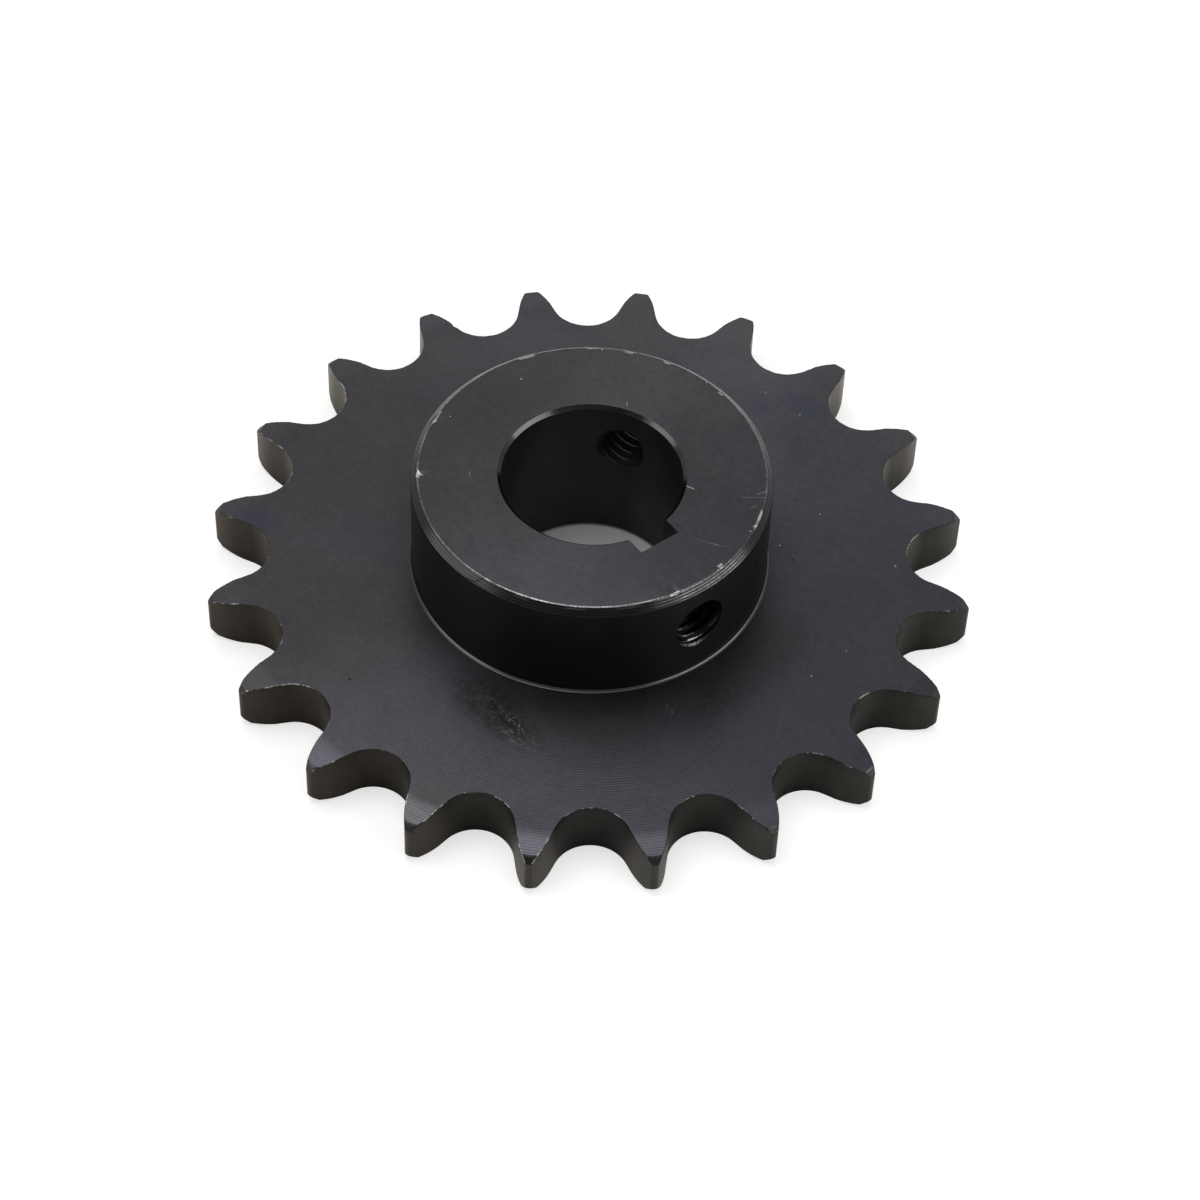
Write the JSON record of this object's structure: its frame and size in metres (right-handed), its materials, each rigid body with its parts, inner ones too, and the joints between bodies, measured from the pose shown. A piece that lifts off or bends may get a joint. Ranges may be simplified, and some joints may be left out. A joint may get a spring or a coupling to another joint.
{
  "type": "chain sprocket",
  "caption": "Steel roller-chain sprocket with a hub on one side, a keyed through bore and two tapped set-screw holes.",
  "frame": {"origin": "on the bore axis at the underside of the toothed plate", "axes": "+Z along the bore axis towards the hub's nose, +X through the keyway and the middle of one tooth gap"},
  "size_m": [0.1078, 0.1078, 0.0254],
  "materials": {
    "black_oxide_steel": "black oxide over turned steel, satin"
  },
  "bodies": {
    "root": {"sprocket": "black_oxide_steel"}
  },
  "joints": []
}
